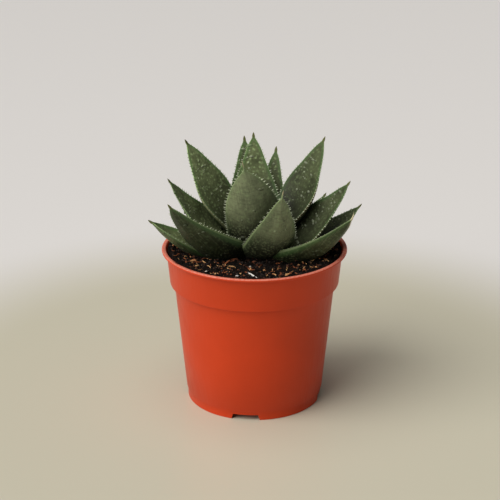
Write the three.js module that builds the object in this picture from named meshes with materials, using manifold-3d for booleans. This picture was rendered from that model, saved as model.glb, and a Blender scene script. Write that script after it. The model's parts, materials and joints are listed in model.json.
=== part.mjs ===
// A potted rosette succulent: thick, keeled, toothed leaves on a short stem that stands in
// peat soil, in a plain moulded nursery pot. Millimetres, +Z up, origin at the centre of the
// pot's foot, -Y towards the viewer.
import * as THREE from "three";
import { mergeVertices } from "three/addons/utils/BufferGeometryUtils.js";
import Module from "manifold-3d";

const wasm = await Module();
wasm.setup();

// Driving dimensions, mm.
const GAP = 0.3; // clearance between pieces that touch
const SLIVER = 0.01; // edges shorter than this are merged away
const RIM_R = 60; // the pot's outer radius at the lip, a 12 cm trade pot
const POT_H = 103.4;
const WALL = 1.1;
const EDGE = 0.3; // small rounding of the foot ring's edge
const CORNER = 1.2; // inner fillet between the wall and the base
const LIP = { drop: 1.9, width: 2.1, round: 0.7, flare: 4.5 };
const COLLAR = { bottomZ: 80.0, bottomR: 55.0, topR: 57.0, round: 0.8, crease: 0.5 };
const BODY = { topR: 52.2, bottomR: 45.0, bottomZ: 6.9 };
const FOOT = { r: 44.2, wall: 1.4, stepZ: 6.2, floorZ: 3.9 };
const BASE_TOP = 5.2; // height of the base inside
const NOTCH = { width: 16.2, height: 3.6, taper: 1.2, count: 4, firstDeg: 262.4 };
const DRAIN = { r: 3.5, ring: 27, count: 8, turnDeg: 22.5, sides: 16 };
const CUT = { inside: 8, depth: 12, below: 1 }; // how far the cutters reach past what they cut
const POT_SIDES = 48;

const SOIL_Z = 101.2; // mean height of the soil beside the wall
const SOIL_MOUND = 0.8; // how much higher it lies at the stem
const SOIL_LUMP = 0.8; // height of its clods
const SOIL_EDGE = 1.2; // how much lower it meets the wall
const SOIL_JITTER = 0.35; // keeps its rings from lying evenly
const SOIL_RINGS = 9;
const SOIL_SIDES = 40;

const PLANT = new THREE.Vector2(2, 0); // where the stem stands, from the pot's axis
const STEM = { rootZ: 58, neckZ: 96, neckR: 10.5, tipZ: 110 };
// The stem's radii, each with its share of the way: from the root to the neck, from there to the tip.
const ROOTSTOCK = [[2.2, 0.026], [4.6, 0.35], [7.4, 0.75]];
const CONE = [[9.45, 0.35], [6.3, 0.7], [2.6, 0.93]];
const STEM_SIDES = 20;
const MIDRIB_STEPS = 24; // short straight steps that a curved midrib is summed from

const SEGMENTS = { grown: 9, young: 6 }; // lengthwise parts of a leaf
const GROWN_LENGTH = 42; // a leaf over this length is grown
const TOOTH_SPACING = 3.6; // about twice the real one, with every tooth at its true size
const TOOTH = { out: 0.9, lean: 0.4, halfRoot: 0.6, least: 0.35, growth: 1 / 8 };
const TIP = { half: 0.55, thick: 0.9 }; // a blade's section where the spike starts

// A blade's form, in shares of its length and width. It is widest at the neck's end and narrows
// from there to the tip. It is thick in its middle, has a channel along its upper face that runs
// out towards the tip, and its underside goes from round at the root to a keel at the tip.
const NARROWING = { power: 2.3, bluntPower: 5, sharpness: 1.2, bluntSharpness: 0.4 };
const NECK = { root: 0.8, end: 0.3, slimRoot: -0.5, slimEnd: 0.35 };
const THICK = { share: 0.19, power: 2.4, sharpness: 0.9, rootShare: 0.5, rootEnd: 0.35 };
const CHANNEL = { share: 0.1, from: 0.2, to: 0.95, foldEnd: 0.45 };
const KEEL = { root: 0.15, tip: 0.8, from: 0.25, to: 0.9 };

// The pale bumps on a grown leaf's upper face stand in short slanting rows across it.
const BUMP = { r: 0.7, high: 0.45, sunk: 0.5, sides: 3 };
const BUMP_ROWS = [0.46, 0.66, 0.84]; // where the rows are, in shares of the length
const BUMPS_ACROSS = [-0.5, 0, 0.5]; // in shares of half the width
const BUMP_SLANT = 0.03; // how far a row moves along the leaf from its middle to its end

// One leaf a row, innermost first. Azimuth is where it points, rise its pitch at the root, curl
// how much steeper it is at the tip, bend how far it swings to its left by then, and roll its turn
// about its own midrib, in degrees. Blunt is 0 for a blade that narrows evenly, and 1 for one that
// keeps its width almost up to the spike. Slim is 1 for a leaf with a narrow lower half, and fold is
// how deep a blade is folded up along its midrib, over half its width.
const LEAVES = [
  // the young heart
  { azimuth: 10, rise: 72, curl: 14, length: 20, width: 12, blunt: 0.6 },
  { azimuth: 145, rise: 70, curl: 16, length: 23, width: 15, blunt: 0.6 },
  { azimuth: 282, rise: 68, curl: 18, length: 26, width: 18, blunt: 0.6 },
  { azimuth: 60, rise: 66, curl: 20, length: 29, width: 21, blunt: 0.6 },
  { azimuth: 205, rise: 62, curl: 22, length: 33, width: 25, blunt: 0.6 },
  { azimuth: 318, rise: 58, curl: 26, length: 34, width: 28, blunt: 0.6 },
  // the upright inner leaves
  { azimuth: 94, rise: 54, curl: 18, length: 70, width: 37 },
  { azimuth: 150, rise: 49, curl: 17, bend: 13, roll: -8, length: 77.5, width: 39, blunt: 0.15,
    slim: 1 },
  { azimuth: 29, rise: 49, curl: 19, bend: -6, roll: 8, length: 77.5, width: 39.5, blunt: 0.12,
    slim: 1 },
  { azimuth: 269, rise: 50, curl: 32, bend: -13, length: 70, width: 36, blunt: 0.8, spike: 6 },
  // the middle leaves
  { azimuth: 99, rise: 36, curl: 26, length: 75, width: 34 },
  { azimuth: 357, rise: 26, curl: 29, roll: 28, length: 68, width: 37 },
  { azimuth: 184, rise: 30, curl: 26, roll: -18, length: 68, width: 39 },
  { azimuth: 75, rise: 38, curl: 28, length: 67, width: 27 },
  { azimuth: 288, rise: 34, curl: 34, length: 65, width: 35, blunt: 0.1, spike: 6 },
  { azimuth: 142, rise: 2, curl: 36, length: 45, width: 30 },
  // the spreading outer leaves
  { azimuth: 0, rise: 6, curl: 42, roll: 8, length: 66.2, width: 35.5, blunt: 0.35 },
  { azimuth: 212, rise: 18, curl: 36, roll: 30, length: 71, width: 38, blunt: 0.05 },
  { azimuth: 112, rise: 2, curl: 40, length: 62, width: 32 },
  { azimuth: 331, rise: 7, curl: 45, roll: -20, length: 68.7, width: 38, blunt: 0.1 },
  { azimuth: 190, rise: 18, curl: 14, roll: -3, length: 66.8, width: 26, blunt: 0.6,
    fold: 0.45, rootZ: 96.3 },
  { azimuth: 46, rise: 4, curl: 36, length: 62, width: 30 },
];

const PLAIN_LEAF = { roll: 0, bend: 0, blunt: 0, slim: 0, fold: 0, spike: 2.5 };
const ROOT = { innerR: 1.5, outerR: 8.5, innerZ: 107, outerZ: 99.5 }; // of the first and last leaf

const COLOURS = { pot: 0xc04a2c, soil: 0x2a1c14, stem: 0x6f7a4e, leaf: 0x3d5a35 };

const rad = THREE.MathUtils.degToRad;
const { lerp, smoothstep } = THREE.MathUtils;

// A closed geometry as a solid.
function solidOf(geometry) {
  const bare = new THREE.BufferGeometry().setAttribute("position", geometry.getAttribute("position"));
  if (geometry.index) bare.setIndex(geometry.index);
  const merged = mergeVertices(bare, 1e-4);
  return new wasm.Manifold(
    new wasm.Mesh({
      numProp: 3,
      vertProperties: new Float32Array(merged.attributes.position.array),
      triVerts: new Uint32Array(merged.index.array),
    }),
  );
}

// The largest body of a solid, as a named mesh. Slivers are merged and scraps of a cut dropped.
function meshOf(name, solid, material) {
  const bodies = solid.simplify(SLIVER).decompose().sort((a, b) => b.volume() - a.volume());
  const made = bodies[0].getMesh();
  const positions = new Float32Array(made.numVert * 3);
  for (let i = 0; i < made.numVert; i++)
    positions.set(made.vertProperties.subarray(i * made.numProp, i * made.numProp + 3), i * 3);
  const geometry = new THREE.BufferGeometry()
    .setAttribute("position", new THREE.BufferAttribute(positions, 3))
    .setIndex(new THREE.BufferAttribute(new Uint32Array(made.triVerts), 1));
  geometry.computeVertexNormals();
  const mesh = new THREE.Mesh(geometry, material);
  mesh.name = name;
  return mesh;
}

// A profile of [radius, height] points, from the axis back to the axis, turned about +Z.
function turned(profile, sides) {
  const points = profile.map(([r, z]) => new THREE.Vector2(r, z));
  return new THREE.LatheGeometry(points, sides).rotateX(Math.PI / 2);
}

// The pot.
function potSolid() {
  const innerFootR = FOOT.r - FOOT.wall;
  const lipZ = POT_H - LIP.drop;
  const profile = [
    [0, FOOT.floorZ],
    [innerFootR, FOOT.floorZ],
    [innerFootR, 0],
    [FOOT.r - EDGE, 0],
    [FOOT.r, EDGE],
    [FOOT.r, FOOT.stepZ],
    [BODY.bottomR, BODY.bottomZ],
    [BODY.topR, COLLAR.bottomZ - COLLAR.crease],
    [COLLAR.bottomR - COLLAR.round, COLLAR.bottomZ],
    [COLLAR.bottomR, COLLAR.bottomZ + COLLAR.round],
    [COLLAR.topR, lipZ],
    [RIM_R - LIP.round, lipZ],
    [RIM_R, lipZ + LIP.round],
    [RIM_R - LIP.round * 0.4, POT_H - LIP.round * 0.4],
    [RIM_R - LIP.round * 1.5, POT_H],
    [RIM_R - LIP.width, POT_H],
    [RIM_R - LIP.width - LIP.round, POT_H - LIP.round],
    [COLLAR.topR - WALL, POT_H - LIP.flare],
    [COLLAR.bottomR - WALL, COLLAR.bottomZ + COLLAR.round],
    [BODY.topR - WALL, COLLAR.bottomZ - WALL],
    [BODY.bottomR - WALL, BODY.bottomZ],
    [BODY.bottomR - WALL - CORNER, BASE_TOP],
    [0, BASE_TOP],
  ];
  let pot = solidOf(turned(profile, POT_SIDES));
  for (let k = 0; k < NOTCH.count; k++) {
    const turn = rad(NOTCH.firstDeg + (360 / NOTCH.count) * k);
    const half = NOTCH.width / 2;
    const outline = new THREE.Shape([
      new THREE.Vector2(-half - NOTCH.taper, -CUT.below),
      new THREE.Vector2(half + NOTCH.taper, -CUT.below),
      new THREE.Vector2(half, NOTCH.height),
      new THREE.Vector2(-half, NOTCH.height),
    ]);
    const cutter = new THREE.ExtrudeGeometry(outline, { depth: CUT.depth, bevelEnabled: false });
    cutter.translate(0, 0, FOOT.r - CUT.inside).rotateX(Math.PI / 2).rotateZ(turn + Math.PI / 2);
    pot = pot.subtract(solidOf(cutter));
  }
  for (let k = 0; k < DRAIN.count; k++) {
    const turn = rad(NOTCH.firstDeg + DRAIN.turnDeg + (360 / DRAIN.count) * k);
    const hole = new THREE.CylinderGeometry(DRAIN.r, DRAIN.r, CUT.inside, DRAIN.sides);
    hole.rotateX(Math.PI / 2);
    hole.translate(DRAIN.ring * Math.cos(turn), DRAIN.ring * Math.sin(turn), FOOT.floorZ);
    pot = pot.subtract(solidOf(hole));
  }
  return pot;
}

// The soil: it fills the pot up to a lumpy surface that rises a little towards the stem.
function soilHeight(x, y) {
  const share = Math.min(1, Math.hypot(x, y) / (COLLAR.topR - WALL));
  const lumps =
    Math.sin(x * 0.61 + 1.3) * Math.sin(y * 0.53 + 0.4) * 0.5 +
    Math.sin(x * 0.97 - y * 0.71 + 2.1) * 0.3 +
    Math.sin(x * 0.33 + y * 1.21) * 0.3;
  return SOIL_Z + SOIL_MOUND * (1 - share * share) + SOIL_LUMP * lumps;
}

function soilSolid() {
  const topR = lerp(COLLAR.bottomR, COLLAR.topR, 0.8) - WALL - GAP;
  const ledgeZ = COLLAR.bottomZ - WALL + GAP;
  const profile = [
    [0, BASE_TOP + GAP],
    [BODY.bottomR - WALL - CORNER - GAP, BASE_TOP + GAP],
    [BODY.bottomR - WALL - GAP, BODY.bottomZ + GAP],
    [BODY.topR - WALL - GAP, ledgeZ],
    [COLLAR.bottomR - WALL - GAP, COLLAR.bottomZ + COLLAR.round + GAP],
    [topR, SOIL_Z - SOIL_EDGE],
  ];
  for (let ring = 1; ring < SOIL_RINGS; ring++)
    profile.push([(topR * (SOIL_RINGS - ring + SOIL_JITTER)) / SOIL_RINGS, SOIL_Z]);
  profile.push([0, SOIL_Z]);
  const geometry = turned(profile, SOIL_SIDES);
  const at = geometry.getAttribute("position");
  for (let i = 0; i < at.count; i++)
    if (at.getZ(i) > SOIL_Z - 0.1) at.setZ(i, soilHeight(at.getX(i), at.getY(i)));
  return solidOf(geometry);
}

// The stem: a short cone that carries the leaves, on a rootstock that tapers down into the soil.
function stemSolid(grow) {
  const { rootZ, neckZ, neckR, tipZ } = STEM;
  const profile = [
    [0, rootZ - grow],
    ...ROOTSTOCK.map(([r, share]) => [r + grow, lerp(rootZ, neckZ, share)]),
    [neckR + grow, neckZ],
    ...CONE.map(([r, share]) => [r + grow, lerp(neckZ, tipZ, share) + grow * share]),
    [0, tipZ + grow],
  ];
  return solidOf(turned(profile, STEM_SIDES).translate(PLANT.x, PLANT.y, 0));
}

// A leaf's own directions at a share s of its length: along the midrib, across the blade to its
// left, and up out of its upper face.
function directions(leaf, s) {
  const azimuth = rad(leaf.azimuth);
  const pitch = rad(leaf.rise + leaf.curl * s);
  const outward = new THREE.Vector3(Math.cos(azimuth), Math.sin(azimuth), 0);
  const along = outward.multiplyScalar(Math.cos(pitch)).setZ(Math.sin(pitch));
  const across = new THREE.Vector3(-Math.sin(azimuth), Math.cos(azimuth), 0);
  across.applyAxisAngle(along, rad(leaf.roll));
  const up = along.clone().cross(across);
  along.applyAxisAngle(up, rad(leaf.bend * s));
  across.applyAxisAngle(up, rad(leaf.bend * s));
  return { along, across, up };
}

// The midrib's point at s, with the directions there.
function midrib(leaf, s) {
  const azimuth = rad(leaf.azimuth);
  const point = new THREE.Vector3(
    PLANT.x + leaf.rootR * Math.cos(azimuth),
    PLANT.y + leaf.rootR * Math.sin(azimuth),
    leaf.rootZ,
  );
  const step = (leaf.length * s) / MIDRIB_STEPS;
  for (let k = 0; k < MIDRIB_STEPS; k++)
    point.addScaledVector(directions(leaf, (s * (k + 0.5)) / MIDRIB_STEPS).along, step);
  return { point, ...directions(leaf, s) };
}

// A point of the cross section at s: x to the side, z out of the upper face.
function sectionPoint(frame, x, z) {
  return frame.point.clone().addScaledVector(frame.across, x).addScaledVector(frame.up, z);
}

// Half the blade's width at s.
function halfWidth(leaf, s) {
  const power = NARROWING.power + NARROWING.bluntPower * leaf.blunt;
  const sharpness = NARROWING.sharpness + NARROWING.bluntSharpness * leaf.blunt;
  const neckRoot = NECK.root + NECK.slimRoot * leaf.slim;
  const neckEnd = NECK.end + NECK.slimEnd * leaf.slim;
  const neck = lerp(neckRoot, 1, smoothstep(s, 0, neckEnd));
  return Math.max(TIP.half, (leaf.width / 2) * (1 - s ** power) ** sharpness * neck);
}

// The blade's section at s: thickness in the middle, depth of the channel along its upper face,
// and how far its underside is a keel, from 0 for round to 1 for a plain ridge.
function section(leaf, s) {
  const half = halfWidth(leaf, s);
  const body = THICK.share * leaf.width * (1 - s ** THICK.power) ** THICK.sharpness;
  const channel = CHANNEL.share * leaf.width * (1 - smoothstep(s, CHANNEL.from, CHANNEL.to));
  const folded = leaf.fold * half * smoothstep(s, 0, CHANNEL.foldEnd);
  return {
    half,
    thick: Math.max(TIP.thick, body * lerp(THICK.rootShare, 1, smoothstep(s, 0, THICK.rootEnd))),
    channel: Math.max(channel, folded),
    keel: lerp(KEEL.root, KEEL.tip, smoothstep(s, KEEL.from, KEEL.to)),
  };
}

const UPPER = [-0.84, 0, 0.84]; // where the section has points between its margins
const LOWER = [0.78, 0, -0.78];

function upperHeight(shape, x) {
  return -shape.channel * (1 - x * x);
}

function lowerHeight(shape, x) {
  const round = Math.sqrt(1 - x * x);
  const ridge = 1 - Math.abs(x);
  return -(shape.channel + shape.thick) * lerp(round, ridge, shape.keel);
}

// The points of a leaf's upper and lower faces at s, each grown outwards by grow.
function faces(leaf, s, grow) {
  const frame = midrib(leaf, s);
  const shape = section(leaf, s);
  return {
    frame,
    half: shape.half,
    upper: UPPER.map((x) => sectionPoint(frame, x * shape.half, upperHeight(shape, x) + grow)),
    lower: LOWER.map((x) => sectionPoint(frame, x * shape.half, lowerHeight(shape, x) - grow)),
  };
}

function stationsOf(leaf) {
  const count = leaf.length > GROWN_LENGTH ? SEGMENTS.grown : SEGMENTS.young;
  return Array.from({ length: count + 1 }, (_, i) => i / count);
}

// A fan of triangles that closes one end of a loft, facing the way that its loop turns.
function fan(positions, centre, loop, reversed) {
  loop.forEach((point, i) => {
    const next = loop[(i + 1) % loop.length];
    positions.push(centre, ...(reversed ? [next, point] : [point, next]));
  });
}

// One margin of the blade between two stations, with its teeth, which lean towards the tip.
function toothedEdge(leaf, s0, s1, side) {
  const at = (s, out) => {
    const frame = midrib(leaf, s);
    return sectionPoint(frame, side * (halfWidth(leaf, s) + out), 0);
  };
  const line = [at(s0, 0)];
  const teeth = s0 > 0 ? Math.max(1, Math.round(((s1 - s0) * leaf.length) / TOOTH_SPACING)) : 0;
  for (let k = 0; k < teeth; k++) {
    const middle = lerp(s0, s1, (k + 0.5) / teeth);
    const size = Math.min(1, TOOTH.least + TOOTH.growth * halfWidth(leaf, middle));
    line.push(at(middle - (TOOTH.halfRoot * size) / leaf.length, 0));
    line.push(at(middle + (TOOTH.lean * size) / leaf.length, TOOTH.out * size));
    line.push(at(middle + (TOOTH.halfRoot * size) / leaf.length, 0));
  }
  line.push(at(s1, 0));
  return line;
}

// Triangles between a margin's points and the face's two points inboard of them.
function zip(positions, line, near, far, reversed) {
  const add = (a, b, c) => positions.push(a, ...(reversed ? [c, b] : [b, c]));
  const middle = Math.floor(line.length / 2);
  for (let i = 0; i < middle; i++) add(line[i], line[i + 1], near);
  add(near, line[middle], far);
  for (let i = middle; i < line.length - 1; i++) add(line[i], line[i + 1], far);
}

// The middle of the section at the root, set back along the leaf.
function rootMiddle(leaf, back) {
  const frame = midrib(leaf, 0);
  const { channel, thick } = section(leaf, 0);
  return sectionPoint(frame, 0, -channel - thick / 2).addScaledVector(frame.along, -back);
}

// A leaf as one closed surface: toothed margins, channelled upper face, keeled underside, spike.
function leafSolid(leaf) {
  const positions = [];
  const quad = (a, b, c, d) => positions.push(a, b, c, a, c, d);
  const stations = stationsOf(leaf);
  const rings = stations.map((s) => faces(leaf, s, 0));
  rings.slice(1).forEach((far, i) => {
    const near = rings[i];
    const right = toothedEdge(leaf, stations[i], stations[i + 1], -1);
    const left = toothedEdge(leaf, stations[i], stations[i + 1], 1);
    zip(positions, right, near.upper[0], far.upper[0], false);
    zip(positions, left, near.upper[2], far.upper[2], true);
    zip(positions, left, near.lower[0], far.lower[0], false);
    zip(positions, right, near.lower[2], far.lower[2], true);
    for (const k of [0, 1]) {
      quad(near.upper[k], far.upper[k], far.upper[k + 1], near.upper[k + 1]);
      quad(near.lower[k], far.lower[k], far.lower[k + 1], near.lower[k + 1]);
    }
  });
  const loop = ({ frame, half, upper, lower }) => [
    sectionPoint(frame, -half, 0),
    ...upper,
    sectionPoint(frame, half, 0),
    ...lower,
  ];
  const end = rings.at(-1);
  fan(positions, rootMiddle(leaf, 0), loop(rings[0]), false);
  const point = end.frame.point.clone().addScaledVector(end.frame.along, leaf.spike);
  fan(positions, point, loop(end), true);
  return solidOf(new THREE.BufferGeometry().setFromPoints(positions));
}

// One bump: a cone with few sides, its root well inside the blade.
function bumpSolid(leaf, s, x) {
  const frame = midrib(leaf, s);
  const shape = section(leaf, s);
  const tall = BUMP.high + BUMP.sunk;
  const cone = new THREE.ConeGeometry((BUMP.r * tall) / BUMP.high, tall, BUMP.sides);
  const place = new THREE.Matrix4().makeBasis(frame.across, frame.up, frame.along);
  const z = upperHeight(shape, x) + BUMP.high - tall / 2;
  place.setPosition(sectionPoint(frame, x * shape.half, z));
  return solidOf(cone.applyMatrix4(place));
}

function bumpySolid(leaf) {
  let solid = leafSolid(leaf);
  if (leaf.length <= GROWN_LENGTH) return solid;
  for (const s of BUMP_ROWS)
    for (const x of BUMPS_ACROSS) solid = solid.add(bumpSolid(leaf, s + BUMP_SLANT * x * 2, x));
  return solid;
}

// The room that a leaf keeps to itself: its plain form, grown past its teeth, and by twice the
// gap there because the margin bulges out between the stations, as a folded blade's faces do.
function leafEnvelope(leaf) {
  const room = 2 * GAP;
  const grow = GAP * (1 + leaf.fold);
  const positions = [];
  const quad = (a, b, c, d) => positions.push(a, b, c, a, c, d);
  const loops = stationsOf(leaf).map((s) => {
    const { frame, half, upper, lower } = faces(leaf, s, grow);
    const reach = half + TOOTH.out + room;
    const corner = (x, z) => sectionPoint(frame, x, z);
    return [corner(-reach, room), ...upper, corner(reach, room), corner(reach, -room), ...lower,
      corner(-reach, -room)];
  });
  const root = midrib(leaf, 0);
  for (const point of loops[0]) point.addScaledVector(root.along, -GAP);
  loops.slice(1).forEach((far, i) => {
    const near = loops[i];
    near.forEach((_, k) => {
      const next = (k + 1) % near.length;
      quad(near[k], far[k], far[next], near[next]);
    });
  });
  const end = midrib(leaf, 1);
  fan(positions, rootMiddle(leaf, GAP), loops[0], false);
  fan(positions, end.point.clone().addScaledVector(end.along, leaf.spike + GAP), loops.at(-1), true);
  return solidOf(new THREE.BufferGeometry().setFromPoints(positions));
}

const part = new THREE.Group();
const matt = (colour, roughness) =>
  new THREE.MeshStandardMaterial({ color: colour, roughness, metalness: 0 });

part.add(meshOf("pot", potSolid(), matt(COLOURS.pot, 0.45)));
part.add(meshOf("stem", stemSolid(0), matt(COLOURS.stem, 0.7)));

const leafMaterial = matt(COLOURS.leaf, 0.5);
const stemEnvelope = stemSolid(GAP);
const inner = [];
LEAVES.forEach((row, i) => {
  const share = i / (LEAVES.length - 1);
  const leaf = {
    ...PLAIN_LEAF,
    rootR: lerp(ROOT.innerR, ROOT.outerR, Math.sqrt(share)),
    rootZ: lerp(ROOT.innerZ, ROOT.outerZ, share),
    ...row,
  };
  let solid = bumpySolid(leaf).subtract(stemEnvelope);
  for (const other of inner) solid = solid.subtract(other);
  inner.push(leafEnvelope(leaf));
  part.add(meshOf(`leaf_${String(i + 1).padStart(2, "0")}`, solid, leafMaterial));
});

let soil = soilSolid().subtract(stemEnvelope);
for (const envelope of inner) soil = soil.subtract(envelope);
part.add(meshOf("soil", soil, matt(COLOURS.soil, 0.95)));

export default part;
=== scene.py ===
"""A potted rosette succulent: thick, keeled, toothed leaves in peat soil, in a moulded plastic pot.

Millimetres are used for the object's own sizes, and MM turns them to Blender's metres. The
object stands on the floor at the origin, +Z is up, and the photo's viewer is on the -Y side.
"""

import json
import random
from functools import partial
from math import cos, hypot, pi, radians, sin, sqrt, tau
from types import SimpleNamespace as Values

import bmesh
import bpy
from bpy.props import FloatProperty, FloatVectorProperty, IntProperty, PointerProperty
from bpy.types import Operator, Panel, PropertyGroup
from mathutils import Matrix, Vector, noise
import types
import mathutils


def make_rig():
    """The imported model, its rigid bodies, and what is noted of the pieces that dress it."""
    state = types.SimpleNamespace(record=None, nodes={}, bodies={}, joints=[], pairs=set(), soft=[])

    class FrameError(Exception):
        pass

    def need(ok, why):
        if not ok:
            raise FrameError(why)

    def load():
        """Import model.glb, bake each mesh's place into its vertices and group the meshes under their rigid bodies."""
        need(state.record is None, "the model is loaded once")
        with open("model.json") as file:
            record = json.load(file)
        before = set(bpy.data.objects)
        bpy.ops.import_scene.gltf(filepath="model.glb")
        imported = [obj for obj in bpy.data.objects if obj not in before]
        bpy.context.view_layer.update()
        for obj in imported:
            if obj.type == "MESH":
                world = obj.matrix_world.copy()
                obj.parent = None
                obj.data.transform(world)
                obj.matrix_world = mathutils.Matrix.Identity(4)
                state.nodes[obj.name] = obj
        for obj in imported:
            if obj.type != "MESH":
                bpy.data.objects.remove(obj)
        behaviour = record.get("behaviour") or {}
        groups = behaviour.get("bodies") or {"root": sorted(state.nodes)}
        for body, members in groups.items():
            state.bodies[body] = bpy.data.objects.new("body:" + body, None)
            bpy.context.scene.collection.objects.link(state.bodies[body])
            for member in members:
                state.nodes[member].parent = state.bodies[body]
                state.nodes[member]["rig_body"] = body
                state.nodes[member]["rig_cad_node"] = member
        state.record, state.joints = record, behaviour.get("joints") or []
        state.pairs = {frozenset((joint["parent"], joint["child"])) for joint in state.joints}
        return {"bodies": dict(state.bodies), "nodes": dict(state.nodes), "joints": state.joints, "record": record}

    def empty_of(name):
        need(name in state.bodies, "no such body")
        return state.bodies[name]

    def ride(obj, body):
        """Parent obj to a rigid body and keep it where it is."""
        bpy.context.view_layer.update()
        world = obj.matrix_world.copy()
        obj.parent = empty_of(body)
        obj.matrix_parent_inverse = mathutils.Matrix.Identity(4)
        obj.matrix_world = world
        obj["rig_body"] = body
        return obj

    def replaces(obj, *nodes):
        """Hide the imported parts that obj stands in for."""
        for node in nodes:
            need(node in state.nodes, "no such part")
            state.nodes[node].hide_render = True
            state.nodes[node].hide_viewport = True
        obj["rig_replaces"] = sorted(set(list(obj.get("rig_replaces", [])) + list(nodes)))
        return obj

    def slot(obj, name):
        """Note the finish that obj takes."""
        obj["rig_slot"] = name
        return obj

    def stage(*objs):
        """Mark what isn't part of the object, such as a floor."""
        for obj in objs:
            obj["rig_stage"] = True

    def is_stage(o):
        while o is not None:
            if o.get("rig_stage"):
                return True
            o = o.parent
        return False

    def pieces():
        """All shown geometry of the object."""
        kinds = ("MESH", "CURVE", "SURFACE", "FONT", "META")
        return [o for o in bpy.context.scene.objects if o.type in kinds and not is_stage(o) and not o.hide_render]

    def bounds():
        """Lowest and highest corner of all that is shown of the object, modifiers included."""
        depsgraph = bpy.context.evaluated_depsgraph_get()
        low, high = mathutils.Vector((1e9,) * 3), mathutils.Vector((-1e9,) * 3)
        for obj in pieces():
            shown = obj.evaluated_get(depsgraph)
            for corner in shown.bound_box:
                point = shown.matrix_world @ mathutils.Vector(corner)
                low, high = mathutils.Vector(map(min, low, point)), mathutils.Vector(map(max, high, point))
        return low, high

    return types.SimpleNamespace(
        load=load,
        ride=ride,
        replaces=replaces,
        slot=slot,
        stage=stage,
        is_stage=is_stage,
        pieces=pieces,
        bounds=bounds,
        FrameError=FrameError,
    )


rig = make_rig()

bl_info = {
    "name": "Potted Rosette Succulent",
    "version": (1, 0, 0),
    "blender": (4, 5, 0),
    "location": "3D View > Sidebar > Succulent",
    "description": "Builds a toothed rosette succulent in a moulded pot, with its soil",
    "category": "Add Mesh",
}

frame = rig.load()
CAD_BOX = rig.bounds()

MM = 0.001
BODY = "root"
SIZE_FILE = "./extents.json"

# The pot's section, in mm.
RIM_R = 60.0
POT_H = 103.4
WALL = 1.1
LIP = Values(drop=1.9, width=2.1, roll=0.85, round=0.7, flare=4.5)
COLLAR = Values(bottom_z=80.0, bottom_r=55.0, top_r=57.0, round=0.8, step=0.5)
POT_BODY = Values(top_r=52.2, bottom_r=45.0, bottom_z=6.9)
FOOT = Values(r=44.2, wall=1.4, step_z=5.9, floor_z=3.9, edge=0.3, cove=1.2)
FLOOR_TOP = FOOT.floor_z + WALL + 0.2
NOTCH = Values(width=16.2, height=3.6, taper=1.2, depth=12.0, count=4, first_deg=262.4)
DRAIN = Values(r=3.5, depth=8.0, ring=27.0, count=8, turn_deg=22.5)
POT_STEPS = 192

# The soil, in mm.
SOIL_Z = 101.2
SOIL_MOUND = 0.8
SOIL_LUMP = 0.8
SOIL_SWEPT = 1.0  # how much higher it lies at the wall, over its last part
SOIL_EDGE = 1.8  # how deep the top of its side lies under its plain surface
SOIL_CORNER = 1.4  # how far it stands back from the pot's inner corner
CLEARANCE = 0.3
SOIL_RINGS = 80
SOIL_STEPS = 320

# What its loose bits may be like, in mm, each kind outside a share of the area in the middle. The
# tints go from black over rust to tan.
LITTER = Values(seed=7, margin=1.2)
CRUMBS = Values(
    middle=0.12, sizes=(0.25, 0.35, 0.5, 0.7, 0.9), flat=(0.5, 0.9), long=(0.7, 1.5), tilt=0.8,
    tints=(0, 0, 0, 0.05, 0.1, 0.1, 0.15, 0.3),
)
SLIVERS = Values(
    middle=0.12, lengths=(1.2, 2.0, 3.2, 5.5), vary=(0.8, 1.2), thick=(0.2, 0.5), tilt=0.4,
    bend=0.25, tints=(0, 0.05, 0.2, 0.35, 0.5, 0.65, 0.8, 0.85),
)
CURLS = Values(
    middle=0.2, bow=(1.0, 2.6), sweep=(60, 140), thick=(0.25, 0.45), tints=(0.3, 0.5, 0.7, 0.85)
)
LEAF_SHADE = Values(share=0.3, start=26, end=42)  # painted shade: how pale bits are under the leaves, and out to where

# What stands out in the soil's front, in mm: curled fibres, each with its place, its bow and its
# tint, and chips, each with its place, heading in radians, length, half its width and its tint.
SOIL_CURLS = (
    (-39.1, -25.0, 3.4, 0.6), (-37.8, -33.0, 2.6, 0.75),
    (-14.7, -32.0, 2.4, 0.6), (-7.8, -30.8, 2.2, 0.7),
    (6.4, -40.6, 2.2, 0.6), (12.0, -48.7, 2.6, 0.7),
    (23.9, -45.0, 2.8, 0.6), (19.5, -49.5, 2.2, 0.7),
)
SOIL_CHIPS = (
    (-1.3, -48.8, -1.02, 12.5, 0.7, 1.0), (-10.8, -52.9, 0.2, 2.2, 0.5, 1.0),
    (-2.8, -32.7, 0.3, 1.6, 0.5, 0.95), (7.7, -53.0, 1.1, 2.2, 0.45, 0.86),
    (-30.0, -44.5, 0.5, 2.0, 0.4, 0.95), (-27.5, -45.8, -0.4, 1.6, 0.35, 0.86),
    (6.2, -42.3, 1.35, 3.6, 0.5, 0.6), (23.4, -46.5, 1.0, 3.2, 0.5, 0.6),
    (41.0, -22.0, -0.9, 2.6, 0.35, 0.7), (-49.5, -32.0, 0.8, 1.3, 0.35, 0.1),
    (-48.2, -34.0, 0.2, 0.9, 0.3, 0.15), (-50.9, -29.7, 1.4, 0.9, 0.3, 0.3),
)

# The plant, in mm and degrees.
PLANT_X = 2.0
MIDRIB_STEPS = 24
ALONG_CUTS = 84
AROUND_CUTS = 56
ROOT_R = (1.5, 8.5)
ROOT_Z = (107.0, 99.5)
TIP_THICK = 0.9
MARGIN_HALF = 0.22
MARGIN_POWER = 40  # how close to its edge a margin keeps its thickness
RIPPLE = Values(high=0.28, long=5)  # how far a margin strays from its plain line
SWELL = Values(high=0.22, along=11, across=16)  # the soft swellings of a face
SPIKE = Values(power=0.7, end=0.02)  # how its last part narrows to its point
GROWN = 40.0  # a leaf over this length is grown
LEAF_SEED = 100
NOISE_STEP = 7.3  # how far apart two leaves read the noise

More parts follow.
